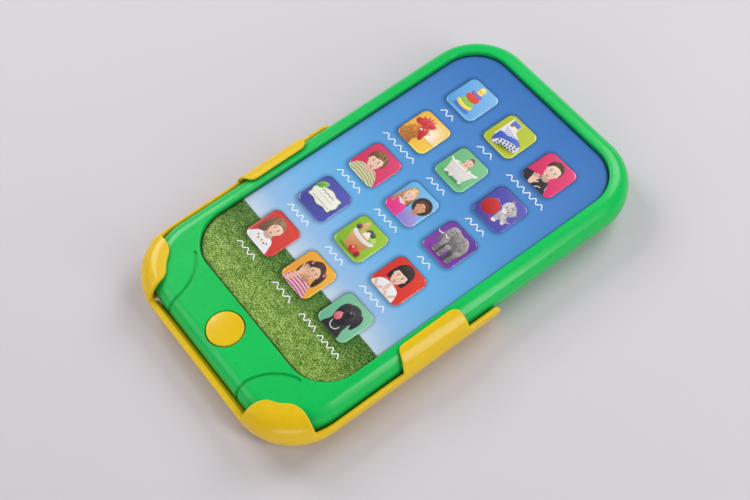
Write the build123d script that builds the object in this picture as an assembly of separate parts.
from build123d import *
import os
from math import asin, cos, radians, tan

# Kids' toy tablet: a green pad with a printed picture face, in a yellow snap-on carry cradle.
# Millimetres. +X is the pad's width, +Y runs from the home button to the top edge, +Z points
# out of the picture face. The origin is at the middle of the whole toy's base.

# ---------------------------------------------------------------- driving dimensions
PAD_HALF_WIDTH = 63.5
PAD_BOTTOM = -105.5
PAD_TOP = 110.5
PAD_CORNER = 29.5
PAD_BACK_Z = 2.1
PAD_FRONT_Z = 21.5
PAD_FRONT_ROUND = 8.0
PAD_BACK_ROUND = 9.8
PARTING_Z = 12.5
PARTING_CHAMFER = 0.3
WALL = 2.0

WINDOW_HALF_WIDTH = 54.5
WINDOW_BOTTOM = -79.0
WINDOW_TOP = 101.0
WINDOW_CORNER = 20.5
WINDOW_EDGE_ROUND = 0.8
WINDOW_RIB = 2.4
DECK_TOP = 18.6
DECK_THICKNESS = 1.4
FILM_THICKNESS = 0.4
FILM_GAP = 0.15

KEY_SIZE = 20.0
KEY_CORNER = 3.5
KEY_COLUMNS = (-28.9, 0.0, 28.9)
KEY_ROWS = (75.0, 45.0, 15.0, -15.0, -45.0)
KEY_RISE = 0.3
KEY_EDGE_ROUND = 0.22
KEY_GAP = 0.1
KEY_DECK_GAP = 0.4
KEY_PAD_SIZE = 14.0
KEY_PAD_FREE_GAP = 0.7

HOME_Y = -91.4
HOME_RADIUS = 8.8
HOME_HOLE_RADIUS = 9.3
HOME_EDGE_Z = 21.9
HOME_DOME = 0.6
HOME_SKIRT_Z = 17.0

GROOVE_CENTRE = (51.6, -101.9)
GROOVE_RADIUS = 24.0
GROOVE_WIDTH = 1.9
GROOVE_DEPTH = 0.35
GROOVE_CORE_WIDTH = 1.0
GROOVE_CORE_DEPTH = 0.75

CRADLE_HALF_WIDTH = 67.0
CRADLE_BOTTOM = -110.5
CRADLE_CORNER = 31.0
CRADLE_WALL = 2.0
CRADLE_FLOOR = 1.8
CRADLE_END_WALL = 3.0
CRADLE_WALL_TOP = 14.5
CRADLE_END = 14.0
CRADLE_LOWER_ROUND = 11.5
CLIP_TOP = 23.2
CLIP_CLEARANCE = 0.35
CLIP_ROUND = 10.0
CLIP_EDGE_ROUND = 0.6
CRADLE_RIM_ROUND = 0.7
CRADLE_END_ROUND = 4.0
LEDGE_HALF = 37.5
LEDGE_GAP = 0.35
LEDGE_LOW = 11.4
LEDGE_TOP = 13.6
SIDE_CLIP_REACH = 57.3
SIDE_CLIP_TOP = -3.8
SIDE_CLIP_BOTTOM = -37.5

BATTERY_RADIUS = 5.25
BATTERY_LENGTH = 44.5
BATTERY_NUB_RADIUS = 1.9
BATTERY_NUB = 0.8
BATTERY_PITCH = 11.6
BAY_CENTRE_Y = 43.0
BAY_HALF_LENGTH = 25.0
BAY_HALF_WIDTH = 18.5
BAY_WALL = 1.4
BAY_ROOF_Z = 15.1
BAY_ROOF = 0.9
CONTACT_THICKNESS = 0.4
SPRING_RADIUS = 3.0
SPRING_WIRE = 0.6
SPRING_TURNS = 3.5

DOOR_THICKNESS = 1.8
DOOR_GAP = 0.3
DOOR_LIP = 7.0
DOOR_SCREW_Y = 20.6
DOOR_SCREW_SHANK = 1.1
DOOR_SCREW_HEAD = 2.4
DOOR_SCREW_TIP = 9.0
DOOR_TAB_X = 17.0

SPEAKER_Y = 83.0
SPEAKER_RADIUS = 18.0
SPEAKER_SLOT = 1.6
SPEAKER_SLOT_PITCH = 3.4

SWITCH_X = 41.0
SWITCH_Y = 84.0
SWITCH_TRAVEL = 5.0

HOUSING_SCREWS = ((51.6, 64.0), (51.6, -8.0), (44.5, -90.0))
HOUSING_SCREW_SHANK = 1.25
HOUSING_SCREW_HEAD = 2.4
HOUSING_POST_RADIUS = 3.6
HOUSING_POST_TOP = 10.0

BOARD_Z = 11.6
BOARD_THICKNESS = 1.6
BOARD_HALF_WIDTH = 36.5
BOARD_LOW_Y = -98.0
BOARD_HIGH_Y = -66.0
BOARD_HOLES = ((32.5, -76.5), (32.5, -93.0))
BOARD_SCREW_SHANK = 1.0
BOARD_SCREW_HEAD = 2.1

MEMBRANE_Z = 16.6
MEMBRANE_THICKNESS = 0.5
TAIL_HALF_WIDTH = 7.0
LEAD_RADIUS = 0.6
LEAD_PITCH = 2.0

SCREW_HEAD_ROUND = 0.3
CROSS_HALF = 0.3
GROOVE_END_X = 43.2
GROOVE_END_Y = -79.4
HOUSING_BOSS_RADIUS = 3.2
HOUSING_HEAD_TOP = 8.0
HOUSING_SCREW_TIP = 16.0
BOARD_POST_RADIUS = 2.6
BOARD_SCREW_TIP = 6.0
HOME_EDGE_ROUND = 0.6
HOME_STEM_RADIUS = 3.0
EAR_HALF = 2.5
EAR_LOW = 18.1
EAR_HIGH = 19.3
GRILLE_RADIUS = 13.5
SLIDER_HALF = 2.2
SWITCH_LOW = 5.6
SWITCH_EAR_Z = 8.8
SWITCH_EARS = (34.2, 52.8)
DOOR_BOSS_RADIUS = 3.0
DOOR_SCREW_SWING = 1.5
DOOR_TAB_HALF = 4.0
TAB_LOW = 4.35
TAB_TOP = 5.35
DOOR_HEAD_TOP = 3.4
LIP_LOW = 4.2
LIP_TOP = 5.6

# ---------------------------------------------------------------- derived places
CLIP_ROOT = CRADLE_WALL_TOP - 1
DOOR_HINGE_Y = BAY_CENTRE_Y + BAY_HALF_WIDTH - DOOR_GAP
FILM_TOP = DECK_TOP + FILM_THICKNESS
CHIN_UNDERSIDE = PAD_FRONT_Z - WALL
FLOOR_TOP = PAD_BACK_Z + WALL
BOARD_TOP = BOARD_Z + BOARD_THICKNESS
DOOR_LOW_Y = BAY_CENTRE_Y - BAY_HALF_WIDTH - DOOR_LIP
BATTERY_Z = FLOOR_TOP + 0.3 + BATTERY_RADIUS
KEY_PLACES = [(x, y) for y in KEY_ROWS for x in KEY_COLUMNS]
OUT_DIR = "parts"


# ---------------------------------------------------------------- shape helpers
def box(x_low, x_high, y_low, y_high, z_low, z_high):
    """Plain box from its limits."""
    middle = Pos((x_low + x_high) / 2, (y_low + y_high) / 2, (z_low + z_high) / 2)
    return middle * Box(x_high - x_low, y_high - y_low, z_high - z_low)


def rod(x, y, z_low, z_high, radius):
    """Upright cylinder."""
    return Pos(x, y, (z_low + z_high) / 2) * Cylinder(radius, z_high - z_low)


def rounded_prism(x_low, x_high, y_low, y_high, corner, z_low, z_high):
    """Upright prism with a rounded rectangular plan."""
    plan = RectangleRounded(x_high - x_low, y_high - y_low, corner)
    middle = Pos((x_low + x_high) / 2, (y_low + y_high) / 2, z_low)
    return extrude(middle * plan, z_high - z_low)


def pillow(half_width, y_low, y_high, corner, z_low, z_high, low_round, high_round):
    """Rounded slab whose back and front edges are both turned over."""
    body = rounded_prism(-half_width, half_width, y_low, y_high, corner, z_low, z_high)
    body = fillet(body.faces().sort_by(Axis.Z)[-1].edges(), high_round)
    return fillet(body.faces().sort_by(Axis.Z)[0].edges(), low_round)


def pad_form(inset):
    """The pad's outer shape, drawn in by inset on every side."""
    return pillow(
        PAD_HALF_WIDTH - inset,
        PAD_BOTTOM + inset,
        PAD_TOP - inset,
        PAD_CORNER - inset,
        PAD_BACK_Z + inset,
        PAD_FRONT_Z - inset,
        PAD_BACK_ROUND - inset,
        PAD_FRONT_ROUND - inset,
    )


def window_form(margin, z_low, z_high):
    """Prism over the picture window, wider by margin."""
    return rounded_prism(
        -WINDOW_HALF_WIDTH - margin,
        WINDOW_HALF_WIDTH + margin,
        WINDOW_BOTTOM - margin,
        WINDOW_TOP + margin,
        WINDOW_CORNER + margin,
        z_low,
        z_high,
    )


def key_form(x, y, margin, z_low, z_high):
    """Prism over one picture key, wider by margin."""
    half = KEY_SIZE / 2 + margin
    return rounded_prism(x - half, x + half, y - half, y + half, KEY_CORNER + margin, z_low, z_high)


def both_sides(shape):
    """The shape and its mirror image across the pad's middle."""
    return shape + mirror(shape, about=Plane.YZ)


def screw(x, y, head_z, tip_z, head_radius, head_height, shank_radius):
    """Round-headed screw with a cross recess; its tip points away from head_z."""
    up = tip_z > head_z
    under_head = head_z + head_height if up else head_z - head_height
    head = rod(x, y, min(head_z, under_head), max(head_z, under_head), head_radius)
    rim = head.faces().sort_by(Axis.Z)[0 if up else -1].edges()
    head = fillet(rim, SCREW_HEAD_ROUND)
    shank = rod(x, y, min(under_head, tip_z), max(under_head, tip_z), shank_radius)
    arm = 0.6 * head_radius
    floor_z = (head_z + under_head) / 2
    low, high = min(head_z, floor_z), max(head_z, floor_z)
    cross = box(x - arm, x + arm, y - CROSS_HALF, y + CROSS_HALF, low, high)
    cross += box(x - CROSS_HALF, x + CROSS_HALF, y - arm, y + arm, low, high)
    return head + shank - cross


def turned(points):
    """Solid of revolution about Z from its half profile of (radius, height) points."""
    profile = make_face(Polyline([(r, 0, z) for r, z in points], close=True))
    return revolve(profile, Axis.Z)


def lead(points, name):
    """Thin insulated wire along straight runs joined by the largest arcs that fit."""
    stops = [Vector(*p) for p in points]
    radii = []
    for before, here, after in zip(stops, stops[1:], stops[2:]):
        run_in, run_out = here - before, after - here
        turn = radians(run_in.get_angle(run_out))
        radii.append(0.45 * min(run_in.length, run_out.length) / tan(turn / 2))
    path = FilletPolyline(*stops, radius=radii)
    print(name, "arc radii", [round(r, 1) for r in radii], "length", round(path.length, 1))
    section = Plane(origin=path @ 0, z_dir=path % 0) * Circle(LEAD_RADIUS)
    return sweep(section, path)


# ---------------------------------------------------------------- housings
def chin_grooves():
    """Two shallow curved grooves either side of the home button, deeper along the middle."""
    x, y = GROOVE_CENTRE
    reach = box(0, GROOVE_END_X, PAD_BOTTOM - 1, GROOVE_END_Y, PARTING_Z, PAD_FRONT_Z + 1)
    grooves = Part()
    for width, depth in ((GROOVE_WIDTH, GROOVE_DEPTH), (GROOVE_CORE_WIDTH, GROOVE_CORE_DEPTH)):
        ring = rod(x, y, PARTING_Z, PAD_FRONT_Z + 1, GROOVE_RADIUS + width / 2)
        ring -= rod(x, y, PARTING_Z, PAD_FRONT_Z + 1, GROOVE_RADIUS - width / 2)
        grooves += ring & reach & (pad_form(0) - pad_form(depth))
    return both_sides(grooves)


def split_edge(shell, face):
    """Bevels the outer edge of a housing's parting face."""
    return chamfer(face.outer_wire().edges(), PARTING_CHAMFER)


def front_housing():
    """Face shell: rounded bezel, chin, the deck under the film and the screw bosses."""
    outer = pad_form(0)
    body = outer - pad_form(WALL)
    body += outer & window_form(WINDOW_RIB, DECK_TOP - DECK_THICKNESS, PAD_FRONT_Z - 0.2)
    body -= window_form(0, DECK_TOP, PAD_FRONT_Z + 1)
    rim = body.edges().filter_by_position(Axis.Z, PAD_FRONT_Z - 0.01, PAD_FRONT_Z + 0.01)
    inner_rim = [e for e in rim if in_window(e.center())]
    body = fillet(inner_rim, WINDOW_EDGE_ROUND)
    body &= box(-80, 80, -120, 120, PARTING_Z, PAD_FRONT_Z + 1)
    body = split_edge(body, body.faces().sort_by(Axis.Z)[0])
    for x, y in KEY_PLACES:
        body -= key_form(x, y, KEY_DECK_GAP, PARTING_Z, DECK_TOP + 0.1)
    body -= rod(0, HOME_Y, PARTING_Z, PAD_FRONT_Z + 1, HOME_HOLE_RADIUS)
    body -= Pos(0, HOME_Y, PAD_FRONT_Z) * Cone(HOME_HOLE_RADIUS - 0.1, HOME_HOLE_RADIUS + 0.5, 0.6)
    body -= chin_grooves()
    for x, y in HOUSING_SCREWS:
        top = CHIN_UNDERSIDE if y < WINDOW_BOTTOM else DECK_TOP - DECK_THICKNESS
        boss = rod(x, y, HOUSING_POST_TOP + 0.2, top + 0.3, HOUSING_BOSS_RADIUS)
        boss -= rod(x, y, HOUSING_POST_TOP, HOUSING_SCREW_TIP + 0.4, HOUSING_SCREW_SHANK + 0.03)
        body += both_sides(boss)
    return body


def in_window(point):
    """True for a point on or inside the picture window's outline."""
    inside_x = abs(point.X) < WINDOW_HALF_WIDTH + 0.1
    return inside_x and WINDOW_BOTTOM - 0.1 < point.Y < WINDOW_TOP + 0.1


def battery_bay():
    """Walls and roof of the battery bay, with the lip and boss that take the door's screw."""
    x = BAY_HALF_LENGTH + BAY_WALL
    y_low = BAY_CENTRE_Y - BAY_HALF_WIDTH - BAY_WALL
    y_high = BAY_CENTRE_Y + BAY_HALF_WIDTH + BAY_WALL
    bay = box(-x, x, y_low, y_high, FLOOR_TOP - 1, BAY_ROOF_Z + BAY_ROOF)
    bay += box(-x, x, DOOR_LOW_Y - 2, y_low + 0.5, FLOOR_TOP - 1, LIP_TOP)
    bay += rod(0, DOOR_SCREW_Y, LIP_LOW, DOOR_SCREW_TIP + 1, DOOR_BOSS_RADIUS)
    bay += box(-DOOR_BOSS_RADIUS, DOOR_BOSS_RADIUS, DOOR_SCREW_Y, y_low + 0.5, LIP_LOW, DOOR_SCREW_TIP + 1)
    return bay


def bay_openings():
    """Everything cut from the rear housing for the cells, the door, its screw and its tabs."""
    y_low = BAY_CENTRE_Y - BAY_HALF_WIDTH
    y_high = BAY_CENTRE_Y + BAY_HALF_WIDTH
    room = box(-BAY_HALF_LENGTH, BAY_HALF_LENGTH, y_low, y_high, 0, BAY_ROOF_Z)
    room += box(-BAY_HALF_LENGTH, BAY_HALF_LENGTH, DOOR_LOW_Y - DOOR_GAP, y_high, 0, LIP_LOW)
    width = DOOR_SCREW_SHANK + 0.1
    slot = rod(0, DOOR_SCREW_Y, LIP_LOW - 1, DOOR_SCREW_TIP + 0.3, width)
    slot += box(-width, width, DOOR_SCREW_Y, DOOR_SCREW_Y + DOOR_SCREW_SWING, LIP_LOW - 1, DOOR_SCREW_TIP + 0.3)
    half = DOOR_TAB_HALF + 0.4
    notch = box(
        DOOR_TAB_X - half, DOOR_TAB_X + half, y_high - 1, y_high + BAY_WALL + 1, FLOOR_TOP, FLOOR_TOP + 2.9
    )
    return room + slot + both_sides(notch)


def speaker_seat():
    """Retaining ring for the speaker."""
    seat = rod(0, SPEAKER_Y, FLOOR_TOP - 0.5, FLOOR_TOP + 3.4, SPEAKER_RADIUS + 1.8)
    return seat - rod(0, SPEAKER_Y, FLOOR_TOP - 1, FLOOR_TOP + 4, SPEAKER_RADIUS + 0.4)


def speaker_slots():
    """Sound slots in the back, filling a circle."""
    slots = Part()
    for row in range(-3, 4):
        offset = row * SPEAKER_SLOT_PITCH
        half = (GRILLE_RADIUS**2 - offset**2) ** 0.5
        slot = extrude(SlotOverall(2 * half, SPEAKER_SLOT), WALL + 1)
        slots += Pos(0, SPEAKER_Y + offset, PAD_BACK_Z - 0.5) * slot
    return slots


def switch_cutout():
    """Finger pocket and slot for the power switch's slider."""
    end = SWITCH_X + SWITCH_TRAVEL
    pocket = rounded_prism(SWITCH_X - 5, end + 5, SWITCH_Y - 4, SWITCH_Y + 4, 2.5, 0, PAD_BACK_Z + 1)
    slot = box(
        SWITCH_X - SLIDER_HALF - 0.3, end + SLIDER_HALF + 0.3, SWITCH_Y - 1.8, SWITCH_Y + 1.8, 0, FLOOR_TOP + 1
    )
    return pocket + slot


def rear_housing():
    """Back shell with the battery bay, speaker seat, switch pocket and screw posts."""
    body = pad_form(0) - pad_form(WALL)
    body &= box(-80, 80, -120, 120, 0, PARTING_Z)
    body = split_edge(body, body.faces().sort_by(Axis.Z)[-1])
    body += battery_bay()
    body += speaker_seat()
    for x, y in HOUSING_SCREWS:
        body += both_sides(rod(x, y, FLOOR_TOP - 1, HOUSING_POST_TOP, HOUSING_POST_RADIUS))
    for x, y in BOARD_HOLES:
        post = rod(x, y, FLOOR_TOP - 1, BOARD_Z, BOARD_POST_RADIUS)
        body += both_sides(post)
        body -= both_sides(rod(x, y, BOARD_SCREW_TIP - 0.5, BOARD_Z + 1, BOARD_SCREW_SHANK + 0.03))
    for x in SWITCH_EARS:
        body += rod(x, SWITCH_Y, FLOOR_TOP - 1, SWITCH_EAR_Z, 1.6)
    for x, y in HOUSING_SCREWS:
        body -= both_sides(rod(x, y, 0, HOUSING_HEAD_TOP, HOUSING_SCREW_HEAD + 0.3))
        body -= both_sides(rod(x, y, 0, HOUSING_POST_TOP + 1, HOUSING_SCREW_SHANK + 0.2))
    body -= bay_openings()
    body -= speaker_slots()
    body -= switch_cutout()
    return body


# ---------------------------------------------------------------- picture face
def overlay_film():
    """Printed face film, with an opening for each raised picture key."""
    film = window_form(-FILM_GAP, DECK_TOP, FILM_TOP)
    for x, y in KEY_PLACES:
        film -= key_form(x, y, KEY_GAP, DECK_TOP - 1, FILM_TOP + 1)
    return film


def picture_key(x, y):
    """One raised square picture of the film, pressed to speak its word."""
    key = key_form(x, y, 0, DECK_TOP, FILM_TOP + KEY_RISE)
    return fillet(key.faces().sort_by(Axis.Z)[-1].edges(), KEY_EDGE_ROUND)


def key_pads():
    """Silicone pads on the membrane, one under each picture."""
    base = MEMBRANE_Z + MEMBRANE_THICKNESS
    half = KEY_PAD_SIZE / 2
    pads = Part()
    for x, y in KEY_PLACES:
        pads += rounded_prism(x - half, x + half, y - half, y + half, 3, base, DECK_TOP - KEY_PAD_FREE_GAP)
    return pads


def membrane_sheet():
    """Laminated membrane switch under the whole picture area."""
    return rounded_prism(-48, 48, -61, 91, 12, MEMBRANE_Z, MEMBRANE_Z + MEMBRANE_THICKNESS)


def membrane_tail():
    """Flat flex from the membrane down to the main board's connector."""
    upper = [(-61, 17.0), (-64, 17.0), (-69.5, 14.7), (-71.5, 14.7)]
    lower = [(-71.5, 14.4), (-69.7, 14.4), (-64.2, 16.7), (-61, 16.7)]
    outline = make_face(Polyline([(-TAIL_HALF_WIDTH, y, z) for y, z in upper + lower], close=True))
    return extrude(outline, 2 * TAIL_HALF_WIDTH, dir=(1, 0, 0))


# ---------------------------------------------------------------- home button
def home_button():
    """Domed round button with a hollow skirt, a stem and two retaining ears."""
    r, edge = HOME_RADIUS, HOME_EDGE_Z
    sides = Polyline((0, 0, edge + HOME_DOME), (0, 0, HOME_SKIRT_Z), (r, 0, HOME_SKIRT_Z), (r, 0, edge))
    dome_radius = (r**2 + HOME_DOME**2) / (2 * HOME_DOME)
    over = cos(asin(r / (2 * dome_radius)))
    middle = (r / 2, 0, edge + HOME_DOME - dome_radius * (1 - over))
    crown = ThreePointArc((r, 0, edge), middle, (0, 0, edge + HOME_DOME))
    cap = revolve(make_face(Curve() + sides + crown), Axis.Z)
    shoulder = cap.edges().filter_by_position(Axis.Z, edge - 0.05, edge + 0.05)
    cap = Pos(0, HOME_Y, 0) * fillet(shoulder, HOME_EDGE_ROUND)
    cap -= rod(0, HOME_Y, HOME_SKIRT_Z - 1, CHIN_UNDERSIDE + 0.8, r - 1.4)
    cap += rod(0, HOME_Y, HOME_SKIRT_Z - 0.1, CHIN_UNDERSIDE + 1, HOME_STEM_RADIUS)
    ear = box(r - 0.7, r + 2, HOME_Y - EAR_HALF, HOME_Y + EAR_HALF, EAR_LOW, EAR_HIGH)
    return cap + both_sides(ear)


def home_dome():
    """Rubber dome switch under the home button's stem."""
    z = BOARD_TOP
    outline = [(0, z), (5.5, z), (5.5, z + 0.5), (4.2, z + 0.7), (2.8, z + 2.1), (2.5, z + 2.3), (0, z + 2.3)]
    return Pos(0, HOME_Y, 0) * turned(outline)


# ---------------------------------------------------------------- electronics
def main_board():
    """Printed circuit board in the chin."""
    board = rounded_prism(
        -BOARD_HALF_WIDTH, BOARD_HALF_WIDTH, BOARD_LOW_Y, BOARD_HIGH_Y, 3, BOARD_Z, BOARD_TOP
    )
    for x, y in BOARD_HOLES:
        board -= both_sides(rod(x, y, BOARD_Z - 1, BOARD_TOP + 1, BOARD_SCREW_SHANK + 0.15))
    return board


def sound_chip():
    """Chip under a flattened blob of black resin."""
    ball = (6.0**2 + 1.8**2) / (2 * 1.8)
    blob = Pos(0, 0, 1.8 - ball) * Sphere(ball)
    blob &= Pos(0, 0, 1) * Cylinder(7, 2)
    return Pos(-19, -82, BOARD_TOP) * blob


def tail_connector():
    """Socket that grips the membrane's tail."""
    socket = box(-9, 9, -76, -71.5, BOARD_TOP, BOARD_TOP + 2.4)
    return fillet(socket.edges().filter_by(Axis.Z), 0.4)


def board_components():
    """Capacitors, resistors and an amplifier chip on the board."""
    parts = Part()
    for x, y, radius, height in ((21, -84, 2.5, 4.6), (27, -81, 2.0, 4.0), (-28, -80, 2.0, 4.0)):
        can = rod(x, y, BOARD_TOP, BOARD_TOP + height, radius)
        parts += fillet(can.faces().sort_by(Axis.Z)[-1].edges(), 0.4)
    for step in range(4):
        x = -16 + 3.2 * step
        parts += box(x - 0.6, x + 0.6, -71, -69, BOARD_TOP, BOARD_TOP + 0.6)
    parts += box(14, 18, -76, -71, BOARD_TOP, BOARD_TOP + 1.5)
    return parts


def speaker_frame():
    """Stamped basket of the loudspeaker, its open side towards the back."""
    z = FLOOR_TOP + 0.1
    outline = [(14.6, z), (18, z), (18, z + 0.8), (16.6, z + 0.8), (10, z + 4.2), (10, z + 5.2), (3, z + 5.2)]
    outline += [(3, z + 4.4), (9.2, z + 4.4), (9.2, z + 3.8), (14.6, z + 1.0)]
    return Pos(0, SPEAKER_Y, 0) * turned(outline)


def speaker_cone():
    """Film cone with a domed middle."""
    z = FLOOR_TOP + 0.2
    outline = [(0, z + 0.6), (4.6, z + 1.8), (5.2, z + 2.6), (14.3, z + 0.2), (14.3, z + 0.5), (5.2, z + 3.0)]
    outline += [(4.3, z + 2.2), (0, z + 1.0)]
    return Pos(0, SPEAKER_Y, 0) * turned(outline)


def speaker_magnet():
    """Magnet pot on the basket."""
    pot = rod(0, SPEAKER_Y, FLOOR_TOP + 5.3, FLOOR_TOP + 8.6, 8.6)
    return chamfer(pot.faces().sort_by(Axis.Z)[-1].edges(), 0.5)


def power_switch_knob():
    """Slider of the power switch: ribbed thumb piece, retaining plate and drive peg."""
    knob = box(-SLIDER_HALF, SLIDER_HALF, -1.5, 1.5, PAD_BACK_Z + 0.3, FLOOR_TOP + 0.3)
    for rib in (-1.2, 0.0, 1.2):
        knob -= box(rib - 0.3, rib + 0.3, -2, 2, PAD_BACK_Z, PAD_BACK_Z + 0.7)
    knob += box(-4.6, 4.6, -2.9, 2.9, FLOOR_TOP + 0.2, FLOOR_TOP + 1.0)
    knob += box(-0.8, 0.8, -0.7, 0.7, FLOOR_TOP + 0.9, FLOOR_TOP + 2.6)
    return Pos(SWITCH_X, SWITCH_Y, 0) * knob


def power_switch_body():
    """Slide switch with its mounting ears and three solder pins."""
    middle = SWITCH_X + SWITCH_TRAVEL / 2
    body = box(middle - 6, middle + 6, SWITCH_Y - 3.4, SWITCH_Y + 3.4, SWITCH_LOW, SWITCH_LOW + 4)
    body += box(
        SWITCH_EARS[0] - 1.8, SWITCH_EARS[1] + 1.8, SWITCH_Y - 1.8, SWITCH_Y + 1.8, SWITCH_EAR_Z, SWITCH_LOW + 4
    )
    body -= box(
        SWITCH_X - 1.1, SWITCH_X + SWITCH_TRAVEL + 1.1, SWITCH_Y - 1, SWITCH_Y + 1, SWITCH_LOW - 1, SWITCH_LOW + 1.6
    )
    for step in (-1, 0, 1):
        body += rod(middle + 3 * step, SWITCH_Y, SWITCH_LOW + 3.9, SWITCH_LOW + 5.6, 0.4)
    return body


def battery_cell(row):
    """One cell; its terminal points along +X, or -X in the middle row."""
    x_direction = -1 if row == 1 else 1
    barrel = BATTERY_LENGTH - BATTERY_NUB
    cell = fillet(Cylinder(BATTERY_RADIUS, barrel).edges(), 0.5)
    cell += Pos(0, 0, barrel / 2 + BATTERY_NUB / 2) * Cylinder(BATTERY_NUB_RADIUS, BATTERY_NUB)
    tip = BAY_HALF_LENGTH - CONTACT_THICKNESS - 0.05
    cell = Pos(tip - BATTERY_NUB - barrel / 2, 0, 0) * Rot(0, 90, 0) * cell
    if x_direction < 0:
        cell = mirror(cell, about=Plane.YZ)
    return Pos(0, cell_y(row), BATTERY_Z) * cell


def cell_y(row):
    """Y place of a cell's axis."""
    return BAY_CENTRE_Y + (row - 1) * BATTERY_PITCH


def battery_springs():
    """Coil springs that press on each cell's flat end."""
    near = BAY_HALF_LENGTH - CONTACT_THICKNESS
    far = near - 2 * (BAY_HALF_LENGTH - CONTACT_THICKNESS) + BATTERY_LENGTH + 0.05
    length = near - far - SPRING_WIRE - 0.1
    springs = Part()
    for row in range(3):
        coil = Helix(length / SPRING_TURNS, length, SPRING_RADIUS)
        wire = sweep(Plane(origin=coil @ 0, z_dir=coil % 0) * Circle(SPRING_WIRE / 2), coil)
        wire = Pos(-near + SPRING_WIRE / 2 + 0.05, cell_y(row), BATTERY_Z) * Rot(0, 90, 0) * wire
        springs += mirror(wire, about=Plane.YZ) if row == 1 else wire
    return springs


def battery_plates():
    """Sheet metal contacts at the two ends of the bay."""
    outer, inner = BAY_HALF_LENGTH, BAY_HALF_LENGTH - CONTACT_THICKNESS
    low, high = BATTERY_Z - 4, BATTERY_Z + 4
    plates = box(-outer, -inner, cell_y(0) - 4.5, cell_y(1) + 4.5, low, high)
    plates += box(-outer, -inner, cell_y(2) - 4.5, cell_y(2) + 4.5, low, high)
    plates += box(inner, outer, cell_y(0) - 4.5, cell_y(0) + 4.5, low, high)
    plates += box(inner, outer, cell_y(1) - 4.5, cell_y(2) + 4.5, low, high)
    return plates


# ---------------------------------------------------------------- battery door and screws
def battery_door():
    """Flush door with two tabs on its upper edge and a captive screw near its lower edge."""
    half = BAY_HALF_LENGTH - DOOR_GAP
    high = DOOR_HINGE_Y
    top = PAD_BACK_Z + DOOR_THICKNESS
    door = rounded_prism(-half, half, DOOR_LOW_Y, high, 1.2, PAD_BACK_Z, top)
    tab = box(DOOR_TAB_X - DOOR_TAB_HALF, DOOR_TAB_X + DOOR_TAB_HALF, high - 3, high, top - 0.5, TAB_TOP)
    tab += box(DOOR_TAB_X - DOOR_TAB_HALF, DOOR_TAB_X + DOOR_TAB_HALF, high - 1, high + 2.8, TAB_LOW, TAB_TOP)
    door += both_sides(tab)
    for step in range(4):
        y = high - 8 - 2 * step
        grip = Pos(0, y, PAD_BACK_Z - 0.1) * extrude(SlotOverall(14 - 2 * step, 0.9), 0.5)
        door -= grip
    door -= rod(0, DOOR_SCREW_Y, 0, DOOR_HEAD_TOP, DOOR_SCREW_HEAD + 0.08)
    door -= rod(0, DOOR_SCREW_Y, 0, top + 1, DOOR_SCREW_SHANK + 0.05)
    return door


def battery_door_screw():
    """Captive screw of the battery door."""
    return screw(
        0, DOOR_SCREW_Y, PAD_BACK_Z + 0.15, DOOR_SCREW_TIP,
        DOOR_SCREW_HEAD, DOOR_HEAD_TOP - PAD_BACK_Z - 0.2, DOOR_SCREW_SHANK,
    )


def housing_screws():
    """Six screws that close the two housings from behind."""
    group = Part()
    for x, y in HOUSING_SCREWS:
        one = screw(
            x, y, HOUSING_HEAD_TOP - 1.6, HOUSING_SCREW_TIP, HOUSING_SCREW_HEAD, 1.6, HOUSING_SCREW_SHANK
        )
        group += both_sides(one)
    return group


def board_screws():
    """Four screws that hold the main board on its posts."""
    group = Part()
    for x, y in BOARD_HOLES:
        one = screw(
            x, y, BOARD_TOP + 1.2, BOARD_SCREW_TIP, BOARD_SCREW_HEAD, 1.2, BOARD_SCREW_SHANK
        )
        group += both_sides(one)
    return group


# ---------------------------------------------------------------- carry cradle
def corner_clip_plan():
    """Plan of the right corner clip, with its wavy free edge."""
    wave = [
        (70, -88), (62, -87.8), (55, -87.4), (50, -89.3),
        (45.6, -93.7), (41.2, -96.9), (39.2, -101.8), (38.6, -112),
    ]
    edge = Spline(*wave)
    start, end = wave[0], wave[-1]
    rest = Polyline(end, (end[0], end[1] - 6), (start[0] + 8, end[1] - 6), (start[0] + 8, start[1]), start)
    return make_face(Curve() + edge + rest)


def side_clip_plan():
    """Plan of the right side clip, its lower edge sweeping down to the wall."""
    upper = Polyline((72, SIDE_CLIP_TOP), (SIDE_CLIP_REACH, SIDE_CLIP_TOP), (SIDE_CLIP_REACH, -34))
    sweep_edge = Spline(
        (SIDE_CLIP_REACH, -34), (58.6, -37.2), (61.6, -38.6), (64.4, -39.9), (66.4, -41.4), (72, -42.2),
        tangents=[(0, -1), (1, 0)],
    )
    closing = Line((72, -42.2), (72, SIDE_CLIP_TOP))
    plan = make_face(Curve() + upper + sweep_edge + closing)
    corner = [v for v in plan.vertices() if abs(v.X - SIDE_CLIP_REACH) < 0.1 and abs(v.Y - SIDE_CLIP_TOP) < 0.1]
    return fillet(corner, 4.5)


def cradle_form(inset_side, inset_end, z_low, z_high, low_round, high_round):
    """Rounded slab of the cradle, open far beyond its upper end."""
    return pillow(
        CRADLE_HALF_WIDTH - inset_side,
        CRADLE_BOTTOM + inset_end,
        PAD_TOP,
        CRADLE_CORNER - inset_side,
        z_low,
        z_high,
        low_round,
        high_round,
    )


def cradle_tray(shell):
    """Floor and low walls of the cradle, with a rounded rim."""
    side_view = Plane.YZ * make_face(Polyline(
        (-120, -1), (CRADLE_END, -1), (CRADLE_END, CRADLE_WALL_TOP), (-120, CRADLE_WALL_TOP), close=True
    ))
    end_corner = side_view.vertices().sort_by(Axis.Y)[-2:].sort_by(Axis.Z)[-1]
    tray = shell & extrude(fillet(end_corner, CRADLE_END_ROUND), 80, both=True)
    rim = [e for e in tray.edges() if e.bounding_box().min.Z > CRADLE_WALL_TOP - 0.01]
    return fillet(rim, CRADLE_RIM_ROUND)


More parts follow.
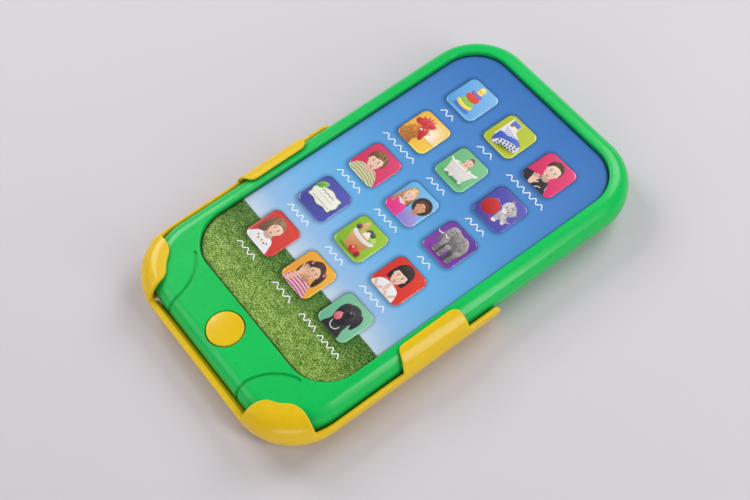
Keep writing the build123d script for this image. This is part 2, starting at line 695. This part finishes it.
def side_clip(shell):
    """Right side clip, curling over the pad's long edge."""
    clip = shell & extrude(Pos(0, 0, CLIP_ROOT) * side_clip_plan(), CLIP_TOP)
    free = [e for e in clip.edges() if e.bounding_box().max.Z > CLIP_ROOT + 0.5]
    return fillet(free, CLIP_EDGE_ROUND)


def corner_clip(shell):
    """Right corner clip, with its wavy outer edge rounded."""
    clip = shell & extrude(Pos(0, 0, CLIP_ROOT) * corner_clip_plan(), CLIP_TOP)
    crest = [e for e in clip.edges().filter_by(GeomType.BSPLINE) if e.bounding_box().max.Z > PAD_FRONT_Z + 1]
    return fillet(crest, CLIP_EDGE_ROUND)


def carry_cradle():
    """Yellow tray with low walls, two side clips and two corner clips."""
    shell = cradle_form(0, 0, 0, CLIP_TOP, CRADLE_LOWER_ROUND, CLIP_ROUND)
    shell -= cradle_form(
        CRADLE_WALL, CRADLE_END_WALL, CRADLE_FLOOR, PAD_FRONT_Z + CLIP_CLEARANCE,
        CRADLE_LOWER_ROUND - CRADLE_WALL, CLIP_ROUND - CRADLE_WALL,
    )
    cradle = cradle_tray(shell) + both_sides(side_clip(shell)) + both_sides(corner_clip(shell))
    return cradle + end_ledge() - cradle_cutouts()


def end_ledge():
    """Ledge inside the end wall that the pad's lower edge stops against, sloping up to the rim."""
    wall = CRADLE_BOTTOM + CRADLE_END_WALL
    stop = PAD_BOTTOM - LEDGE_GAP
    profile = make_face(Plane.YZ * Polyline(
        (wall - 0.5, CRADLE_FLOOR), (stop, CRADLE_FLOOR), (stop, LEDGE_LOW), (wall, LEDGE_TOP),
        (wall - 0.5, LEDGE_TOP), close=True
    ))
    return extrude(profile, LEDGE_HALF, both=True)


def cradle_cutouts():
    """Mould openings: a slot in the floor below each side clip, a notch beside each corner clip."""
    notch = rounded_prism(38.4, 44.4, -107.4, -98, 2, -1, 9)
    slot = rounded_prism(54, 60.5, SIDE_CLIP_BOTTOM + 2, SIDE_CLIP_TOP - 2, 2, -1, 6)
    return both_sides(notch + slot)


# ---------------------------------------------------------------- wiring
def battery_lead_red():
    """Positive lead from the battery bay to the main board."""
    route = [
        (27.1, 34, 9), (31.5, 24, 9), (33, 6, 7.5), (31, -14, 6.5),
        (33.5, -36, 8.5), (30.5, -57, 14.2), (26.5, -71, 13.85),
    ]
    return lead(route, "battery_lead_red")


def battery_lead_black():
    """Negative lead from the battery bay to the main board."""
    route = [
        (-27.1, 52, 9), (-30.5, 40, 9), (-30, 20, 8), (-32.5, 0, 7),
        (-31, -20, 6.5), (-33, -40, 9), (-30, -58, 14.2), (-25, -71, 13.85),
    ]
    return lead(route, "battery_lead_black")


def speaker_leads():
    """Pair of leads from the loudspeaker to the main board."""
    pair = Part()
    for shift in (0, LEAD_PITCH):
        route = [
            (-11, 76 + shift, 10.5), (-23, 69.5 + shift, 10.5), (-34 - shift, 59, 9.5), (-37 - shift, 38, 8),
            (-36 - shift, 16, 7), (-38.5 - shift, -6, 6.5), (-37 - shift, -28, 7.5), (-38 - shift, -48, 11),
            (-34 - shift, -60, 14.6), (-29.5 - shift, -71, 13.85),
        ]
        pair += lead(route, "speaker_leads")
    return pair


def switch_leads():
    """Pair of leads from the power switch to the main board."""
    pair = Part()
    for shift in (0, LEAD_PITCH):
        route = [
            (43 + shift, 78, 11), (41 + shift, 64, 10.5), (38 + shift, 46, 9), (39.5 + shift, 26, 8),
            (37.5 + shift, 4, 7), (39.5 + shift, -18, 7), (37.5 + shift, -40, 9), (35 + shift, -57, 14.4),
            (31 + shift, -70.5, 13.85),
        ]
        pair += lead(route, "switch_leads")
    return pair


# ---------------------------------------------------------------- write every node
def nodes():
    """Every separate piece, by node name."""
    made = {
        "front_housing": front_housing(),
        "rear_housing": rear_housing(),
        "overlay_film": overlay_film(),
        "home_button": home_button(),
        "home_dome": home_dome(),
        "key_pads": key_pads(),
        "membrane_sheet": membrane_sheet(),
        "membrane_tail": membrane_tail(),
        "main_board": main_board(),
        "tail_connector": tail_connector(),
        "sound_chip": sound_chip(),
        "board_components": board_components(),
        "speaker_frame": speaker_frame(),
        "speaker_cone": speaker_cone(),
        "speaker_magnet": speaker_magnet(),
        "power_switch_knob": power_switch_knob(),
        "power_switch_body": power_switch_body(),
        "battery_springs": battery_springs(),
        "battery_plates": battery_plates(),
        "battery_door": battery_door(),
        "battery_door_screw": battery_door_screw(),
        "housing_screws": housing_screws(),
        "board_screws": board_screws(),
        "carry_cradle": carry_cradle(),
        "battery_lead_red": battery_lead_red(),
        "battery_lead_black": battery_lead_black(),
        "speaker_leads": speaker_leads(),
        "switch_leads": switch_leads(),
    }
    for number, (x, y) in enumerate(KEY_PLACES, start=1):
        made[f"picture_key_{number:02d}"] = picture_key(x, y)
    for row in range(3):
        made[f"battery_cell_{row + 1}"] = battery_cell(row)
    return made


os.makedirs(OUT_DIR, exist_ok=True)
for node, shape in nodes().items():
    export_step(shape, f"{OUT_DIR}/{node}.step")
